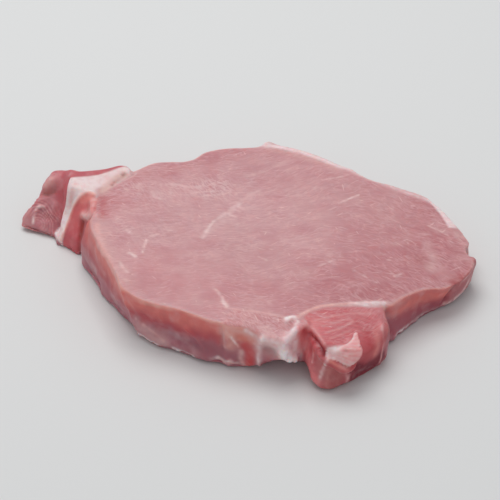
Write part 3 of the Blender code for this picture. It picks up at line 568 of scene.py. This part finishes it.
# The back edge and the broad end: silverskin along the back edge, its white partly a painted highlight, and a sliver of
# fat.
brush(FAT_WET, ((6.0, 46.8, 16.1), (10.5, 46.0, 16.0), (17.9, 43.2, 16.0), (24.1, 39.9, 15.8), (30.2, 36.4, 15.5)), 1.1, 1.1, 0.4)
brush(FAT_WET, ((30.2, 36.6, 15.5), (36.3, 32.6, 15.1), (42.4, 29.5, 14.4), (48.5, 27.1, 13.5), (54.6, 24.9, 12.6), (58.4, 23.2, 11.6)), 0.8, 1.0, 0.4)
brush((0.72, 0.44, 0.40), ((8.5, 44.4, 16.2), (17.0, 41.4, 16.2), (28.0, 35.6, 15.8)), 1.6, 0.4)
brush(FAT_WET, ((-1.0, 46.8, 16.2), (3.0, 47.0, 16.4), (6.6, 47.8, 16.6), (8.6, 48.8, 17.0)), 1.2, 1.1)
SLIVER = ((57.8, 23.0), (60.2, 18.6), (61.8, 14.4), (62.6, 11.8), (65.2, 12.0), (64.6, 14.8), (62.9, 17.2), (61.4, 20.0), (59.6, 23.2))
lay((0.92, 0.76, 0.76), inside(resting, SLIVER, 0.5) * rise(0.2, 0.5, facing[:, 2]))
brush(FAT_PINK, ((-14.0, 44.2, 16.0), (-5.0, 45.4, 16.0)), 0.6, 0.6)
# Painted shade: darker where the broad end curls over.
brush((0.42, 0.09, 0.09), ((62.6, -13.0, 10.6), (63.7, -12.2, 10.5), (65.4, -10.8, 10.1)), 1.7, 0.8)
brush((0.55, 0.19, 0.20), ((63.0, -13.0, 5.0), (65.4, -10.4, 4.6), (67.6, -7.0, 4.0)), 1.8, 0.7)
brush(FAT_PINK, ((66.2, -10.6, 9.0), (68.3, -6.4, 9.6), (69.2, -3.6, 9.8)), 0.5, 0.6)
brush((0.58, 0.27, 0.27), ((67.4, 8.4, 9.0), (67.6, 4.6, 8.6), (68.2, 4.0, 3.0)), 3.2, 1.1)
# Painted shade: darker low on the broad end, by the board.
brush((0.40, 0.10, 0.12), ((61.6, -13.6, 5.0), (64.4, -11.6, 5.6), (66.8, -8.4, 6.0)), 1.7, 0.75)
brush((0.80, 0.52, 0.51), ((60.6, -14.4, 2.4), (63.6, -12.4, 2.6), (65.8, -9.8, 3.6), (67.8, -7.0, 5.2)), 0.9, 0.9, 0.9)
# Painted shade: dark red in the end crease and the side groove.
brush(DARK_RED_SHADE, END_CREASE, 0.7, 0.5)
brush(DARK_RED_SHADE, SIDE_GROOVE, 0.9, 0.25)

threaded = up * (1.0 - 0.45 * spot((-20.0, -20.0), 15.0)) * (1.0 - fat) * (1.0 - tail) * (1.0 - strip) * (1.0 - tag) * rise(4.5, 1.5, drop)
fatty = np.maximum(fat, 0.7 * tag)
curled = 1.3 * spot((-9.0, 24.0), 6.0) + 0.5 * spot((-24.0, 22.0), 9.0) + 0.8 * spot((-34.0, 25.0), 4.0) + 0.3 * spot((-31.0, 2.0), 12.0) + 0.5 * front_patch
curled *= threaded

# The grain: threads lie across the eye, climb towards the back right, and dip again at the broad end.
climb = (5.0 + 0.22 * y) * rise(-5.0, 40.0, x) - (9.0 - 0.1 * y) * rise(28.0, 72.0, x) + 1.6 * lumps(resting, 16.0, 21)
on_lobe_top = inside(resting, LOBE_TOP, 0.3)
lobe_climb = 0.45 * (x - 29.0) + 0.022 * (x - 29.0) ** 2
sway = 1.2 * lumps(resting, 9.0, 22) + 0.6 * lumps(resting, 4.0, 23) + 0.15 * lumps(resting, 2.0, 24)
grain_y = y + sway - climb * (1.0 - on_lobe_top) - lobe_climb * on_lobe_top
grain_place = np.stack([x + 200.0 * on_lobe_top, grain_y, 0.15 * z], axis=1)

for name, kind, field, values in (
        ("flesh_colour", "FLOAT_COLOR", "color", np.hstack([paint, np.ones((len(paint), 1))])),
        ("grain", "FLOAT_VECTOR", "vector", grain_place),
        ("threaded", "FLOAT", "value", np.clip(threaded, 0.0, 1.0)),
        ("fatty", "FLOAT", "value", np.clip(fatty, 0.0, 1.0)),
        ("curled", "FLOAT", "value", np.clip(curled, 0.0, 1.0))):
    layer = chop.data.attributes.new(name, kind, "POINT")
    layer.data.foreach_set(field, values.ravel())


# Raw pork, as a material: moist flesh with pale threads and flecks where the knife crossed the
# bundles, mottled walls under a thin skin, and waxy fat. The threads and flecks are two groups.
def put(tree, kind, place, **values):
    """Adds a node at a place, and sets its own settings or its inputs by name."""
    node = tree.nodes.new(kind)
    node.location = place
    for name, value in values.items():
        if hasattr(node, name):
            setattr(node, name, value)
        else:
            node.inputs[name.replace("_", " ")].default_value = value
    return node


def reckon(tree, operation, *terms, clamp=False):
    """A Math node; each term is a number or another node's output."""
    node = tree.nodes.new("ShaderNodeMath")
    node.operation = operation
    node.use_clamp = clamp
    for socket, term in zip(node.inputs, terms):
        if isinstance(term, bpy.types.NodeSocket):
            tree.links.new(term, socket)
        else:
            socket.default_value = term
    return node.outputs[0]


def join_axes(tree, across, along, up):
    """A Combine XYZ node; each axis is a number or another node's output."""
    node = tree.nodes.new("ShaderNodeCombineXYZ")
    for socket, term in zip(node.inputs, (across, along, up)):
        if isinstance(term, bpy.types.NodeSocket):
            tree.links.new(term, socket)
        else:
            socket.default_value = term
    return node.outputs[0]


def noise(tree, vector, size, detail=2.0, seed=0.0):
    """A noise texture whose lumps are about size millimetres, from 0 to 1 around a half."""
    node = put(tree, "ShaderNodeTexNoise", (0, 0), Scale=1.0 / size, Detail=detail, noise_dimensions="4D", W=seed)
    tree.links.new(vector, node.inputs["Vector"])
    return node.outputs[0]


def mix_colour(tree, share, under, over):
    """Lays the colour over on the colour under by a share from 0 to 1."""
    node = put(tree, "ShaderNodeMix", (0, 0), data_type="RGBA")
    for socket, term in zip((node.inputs[0], node.inputs[6], node.inputs[7]), (share, under, over)):
        if isinstance(term, bpy.types.NodeSocket):
            tree.links.new(term, socket)
        else:
            socket.default_value = term
    return node.outputs[2]


def new_group(name, inputs, output):
    """An empty shader group with named number inputs after a vector, and one number output."""
    group = bpy.data.node_groups.new(name, "ShaderNodeTree")
    group.interface.new_socket(name="Vector", in_out="INPUT", socket_type="NodeSocketVector")
    for label, value in inputs.items():
        socket = group.interface.new_socket(name=label, in_out="INPUT", socket_type="NodeSocketFloat")
        socket.default_value = value
    group.interface.new_socket(name=output, in_out="OUTPUT", socket_type="NodeSocketFloat")
    return group, group.nodes.new("NodeGroupInput").outputs, group.nodes.new("NodeGroupOutput").inputs


threads, given, made = new_group("threads", {"Size": 0.6, "Stretch": 8.0, "Sharpness": 9.0, "Seed": 0.0}, "Threads")
axes = put(threads, "ShaderNodeSeparateXYZ", (0, 0))
threads.links.new(given["Vector"], axes.inputs[0])
long_size = reckon(threads, "MULTIPLY", given["Size"], given["Stretch"])
waves = put(threads, "ShaderNodeTexNoise", (0, 0), Scale=1.0, Detail=2.5, Roughness=0.55, Distortion=0.35)
stretched = join_axes(
    threads,
    reckon(threads, "DIVIDE", axes.outputs[0], long_size),
    reckon(threads, "DIVIDE", axes.outputs[1], given["Size"]),
    reckon(threads, "ADD", reckon(threads, "DIVIDE", axes.outputs[2], given["Size"]), given["Seed"]))
threads.links.new(stretched, waves.inputs["Vector"])
off_line = reckon(threads, "ABSOLUTE", reckon(threads, "SUBTRACT", waves.outputs[0], 0.5))
ridge = reckon(threads, "SUBTRACT", 1.0, reckon(threads, "MULTIPLY", off_line, given["Sharpness"]), clamp=True)
threads.links.new(reckon(threads, "SMOOTH_MIN", ridge, 1.0, 0.1), made["Threads"])

flecks, given, made = new_group(
    "flecks", {"Cell": 3.0, "Stretch": 1.0, "Length": 1.2, "Width": 0.16, "Direction": 0.0, "Spread": 3.14,
               "Share": 0.5, "Seed": 0.0}, "Flecks")
axes = put(flecks, "ShaderNodeSeparateXYZ", (0, 0))
flecks.links.new(given["Vector"], axes.inputs[0])
cell_long = reckon(flecks, "MULTIPLY", given["Cell"], given["Stretch"])
in_cells = join_axes(
    flecks,
    reckon(flecks, "ADD", reckon(flecks, "DIVIDE", axes.outputs[0], cell_long), given["Seed"]),
    reckon(flecks, "ADD", reckon(flecks, "DIVIDE", axes.outputs[1], given["Cell"]), given["Seed"]), 0.0)
cells = put(flecks, "ShaderNodeTexVoronoi", (0, 0), Scale=1.0, Randomness=1.0, voronoi_dimensions="2D")
flecks.links.new(in_cells, cells.inputs["Vector"])
offset = put(flecks, "ShaderNodeVectorMath", (0, 0), operation="SUBTRACT")
flecks.links.new(in_cells, offset.inputs[0])
flecks.links.new(cells.outputs["Position"], offset.inputs[1])
offset_axes = put(flecks, "ShaderNodeSeparateXYZ", (0, 0))
flecks.links.new(offset.outputs[0], offset_axes.inputs[0])
chance = put(flecks, "ShaderNodeSeparateColor", (0, 0))
flecks.links.new(cells.outputs["Color"], chance.inputs[0])
off_x = reckon(flecks, "MULTIPLY", offset_axes.outputs[0], cell_long)
off_y = reckon(flecks, "MULTIPLY", offset_axes.outputs[1], given["Cell"])
turned = reckon(flecks, "MULTIPLY_ADD", reckon(flecks, "SUBTRACT", chance.outputs[0], 0.5), given["Spread"], given["Direction"])
turn_cos, turn_sin = reckon(flecks, "COSINE", turned), reckon(flecks, "SINE", turned)
along = reckon(flecks, "ADD", reckon(flecks, "MULTIPLY", off_x, turn_cos), reckon(flecks, "MULTIPLY", off_y, turn_sin))
across = reckon(flecks, "SUBTRACT", reckon(flecks, "MULTIPLY", off_y, turn_cos), reckon(flecks, "MULTIPLY", off_x, turn_sin))
curl = reckon(flecks, "MULTIPLY", reckon(flecks, "SUBTRACT", chance.outputs[2], 0.15), 0.25)
across = reckon(flecks, "MULTIPLY_ADD", reckon(flecks, "MULTIPLY", along, along), curl, across)
length = reckon(flecks, "MULTIPLY", given["Length"], reckon(flecks, "ADD", chance.outputs[1], 0.4))
ends = reckon(flecks, "POWER", reckon(flecks, "DIVIDE", along, length), 2.0)
sides = reckon(flecks, "POWER", reckon(flecks, "DIVIDE", across, given["Width"]), 2.0)
body = reckon(flecks, "SUBTRACT", 1.0, reckon(flecks, "ADD", ends, sides), clamp=True)
there = reckon(flecks, "LESS_THAN", chance.outputs[2], given["Share"])
flecks.links.new(reckon(flecks, "MULTIPLY", body, there), made["Flecks"])


def use_group(tree, group, vector, **values):
    """Puts a group in a material and returns its output."""
    node = put(tree, "ShaderNodeGroup", (0, 0), node_tree=group)
    tree.links.new(vector, node.inputs["Vector"])
    for label, value in values.items():
        node.inputs[label].default_value = value
    return node.outputs[0]


meat = bpy.data.materials.new("raw_pork")
meat.use_nodes = True
tree = meat.node_tree
shader = tree.nodes["Principled BSDF"]
shader.inputs["IOR"].default_value = 1.40
shader.inputs["Subsurface Weight"].default_value = 0.45
shader.inputs["Subsurface Radius"].default_value = (1.0, 0.22, 0.16)
shader.inputs["Subsurface Scale"].default_value = 0.0025

colour = put(tree, "ShaderNodeAttribute", (-1200, 300), attribute_name="flesh_colour").outputs["Color"]
grain = put(tree, "ShaderNodeAttribute", (-1200, 0), attribute_name="grain").outputs["Vector"]
on_cut = put(tree, "ShaderNodeAttribute", (-1200, -200), attribute_name="threaded").outputs["Fac"]
on_fat = put(tree, "ShaderNodeAttribute", (-1200, -400), attribute_name="fatty").outputs["Fac"]
on_curls = put(tree, "ShaderNodeAttribute", (-1200, -500), attribute_name="curled").outputs["Fac"]
body_place = put(tree, "ShaderNodeTexCoord", (-1400, -600)).outputs["Object"]
in_mm = put(tree, "ShaderNodeVectorMath", (-1200, -600), operation="SCALE")
tree.links.new(body_place, in_mm.inputs[0])
in_mm.inputs["Scale"].default_value = 1000.0
place = in_mm.outputs[0]

patches = noise(tree, place, 7.0, 1.0, 1.0)
fine_threads = use_group(tree, threads, grain, Size=1.0, Stretch=4.2, Sharpness=9.0, Seed=3.0)
net_threads = use_group(tree, threads, grain, Size=1.9, Stretch=2.4, Sharpness=18.0, Seed=11.0)
dark_threads = use_group(tree, threads, grain, Size=1.4, Stretch=3.6, Sharpness=6.0, Seed=23.0)
thread_mix = reckon(tree, "MULTIPLY", reckon(tree, "ADD", reckon(tree, "MULTIPLY", fine_threads, 0.25), reckon(tree, "MULTIPLY", net_threads, 0.24)), on_cut)
thread_mix = reckon(tree, "MULTIPLY", thread_mix, reckon(tree, "MULTIPLY_ADD", patches, 3.4, -0.9, clamp=True))
deep_mix = reckon(tree, "MULTIPLY", reckon(tree, "MULTIPLY", dark_threads, 0.24), on_cut)
short_flecks = use_group(tree, flecks, grain, Cell=3.4, Stretch=1.0, Length=1.1, Width=0.22, Direction=-0.2, Spread=2.4, Share=0.10, Seed=5.0)
long_flecks = use_group(tree, flecks, grain, Cell=1.9, Stretch=2.6, Length=2.2, Width=0.15, Direction=0.1, Spread=1.0, Share=0.34, Seed=9.0)
fleck_mix = reckon(tree, "MULTIPLY", reckon(tree, "ADD", reckon(tree, "MULTIPLY", short_flecks, 0.45), reckon(tree, "MULTIPLY", long_flecks, 0.34)), on_cut)

curl_grain = put(tree, "ShaderNodeVectorRotate", (0, 0), rotation_type="Z_AXIS", Angle=0.93)
tree.links.new(grain, curl_grain.inputs["Vector"])
curl_threads = use_group(tree, threads, curl_grain.outputs[0], Size=0.95, Stretch=4.0, Sharpness=11.0, Seed=31.0)
curl_mix = reckon(tree, "MULTIPLY", reckon(tree, "MULTIPLY", curl_threads, on_curls), 0.42)

colour = mix_colour(tree, deep_mix, colour, (0.45, 0.17, 0.185, 1.0))
colour = mix_colour(tree, thread_mix, colour, (0.76, 0.47, 0.47, 1.0))
colour = mix_colour(tree, fleck_mix, colour, (0.86, 0.60, 0.58, 1.0))

colour = mix_colour(tree, curl_mix, colour, (0.82, 0.62, 0.61, 1.0))

off_cut = reckon(tree, "SUBTRACT", 1.0, reckon(tree, "ADD", on_cut, on_fat), clamp=True)
blotches = reckon(tree, "MULTIPLY", reckon(tree, "SUBTRACT", noise(tree, place, 3.4, 3.0, 2.0), 0.5), 1.0)
pale_share = reckon(tree, "MULTIPLY", reckon(tree, "MAXIMUM", blotches, 0.0), off_cut)
deep_share = reckon(tree, "MULTIPLY", reckon(tree, "MAXIMUM", reckon(tree, "MULTIPLY", blotches, -1.0), 0.0), off_cut)
colour = mix_colour(tree, pale_share, colour, (0.78, 0.50, 0.50, 1.0))
colour = mix_colour(tree, deep_share, colour, (0.40, 0.075, 0.09, 1.0))
fat_cloud = reckon(tree, "MULTIPLY", reckon(tree, "MULTIPLY", reckon(tree, "SUBTRACT", noise(tree, place, 1.8, 3.0, 4.0), 0.45), 2.0, clamp=True), on_fat)
colour = mix_colour(tree, fat_cloud, colour, (0.70, 0.42, 0.41, 1.0))
tree.links.new(colour, shader.inputs["Base Color"])

gloss = reckon(tree, "MULTIPLY_ADD", noise(tree, place, 3.0, 2.0, 6.0), 0.25, 0.30)
tree.links.new(gloss, shader.inputs["Roughness"])
height = reckon(tree, "ADD", reckon(tree, "MULTIPLY", thread_mix, 0.6), reckon(tree, "MULTIPLY", noise(tree, place, 0.7, 3.0, 8.0), 0.5))
relief = put(tree, "ShaderNodeBump", (-300, -300), Strength=0.5, Distance=0.00012)
tree.links.new(height, relief.inputs["Height"])
tree.links.new(relief.outputs[0], shader.inputs["Normal"])
chop.data.materials.clear()
chop.data.materials.append(meat)
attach(chop, "root")
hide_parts("pork_chop")


# The worktop under the slice: a plain pale floor, which isn't part of the object.
bpy.ops.object.select_all(action="DESELECT")
bpy.ops.mesh.primitive_plane_add(size=6.0, location=(0.0, 0.0, 0.0))
worktop = bpy.context.object
worktop.name = "worktop"
worktop_paint = bpy.data.materials.new("pale_worktop")
worktop_paint.use_nodes = True
worktop_shader = worktop_paint.node_tree.nodes["Principled BSDF"]
worktop_shader.inputs["Base Color"].default_value = (0.72, 0.72, 0.71, 1.0)
worktop_shader.inputs["Roughness"].default_value = 0.7
worktop.data.materials.append(worktop_paint)


# Soft studio light: one broad panel above and behind the slice, and a pale sky all round.
def light_panel(name, place, size, power):
    """A square soft box at place, facing the slice."""
    bpy.ops.object.light_add(type="AREA", location=place)
    panel = bpy.context.object
    panel.name = name
    panel.data.size = size
    panel.data.energy = power
    tilt = math.atan2(math.hypot(place[0], place[1]), place[2])
    panel.rotation_euler = (tilt, 0.0, math.atan2(place[0], -place[1]))


light_panel("soft_box_above", (-0.10, 0.24, 0.72), 0.55, 3.2)
sky = bpy.data.worlds.new("studio")
bpy.context.scene.world = sky
sky.use_nodes = True
sky.node_tree.nodes["Background"].inputs["Color"].default_value = (0.95, 0.97, 1.0, 1.0)
sky.node_tree.nodes["Background"].inputs["Strength"].default_value = 0.52

# The camera looks down from the front, at 40 degrees, through a long lens.
CAMERA_AIM = (0.00206, 0.0145, 0.0)
CAMERA_DISTANCE = 0.75
CAMERA_RISE = math.radians(40.0)
bpy.ops.object.camera_add(
    location=(
        CAMERA_AIM[0],
        CAMERA_AIM[1] - CAMERA_DISTANCE * math.cos(CAMERA_RISE),
        CAMERA_AIM[2] + CAMERA_DISTANCE * math.sin(CAMERA_RISE),
    ),
    rotation=(math.pi / 2 - CAMERA_RISE, 0.0, 0.0),
)
camera = bpy.context.object
camera.name = "camera"
camera.data.lens = 175.0
camera.data.sensor_width = 36.0
camera.data.clip_end = 20.0
bpy.context.scene.camera = camera
bpy.context.scene.view_settings.view_transform = "Standard"
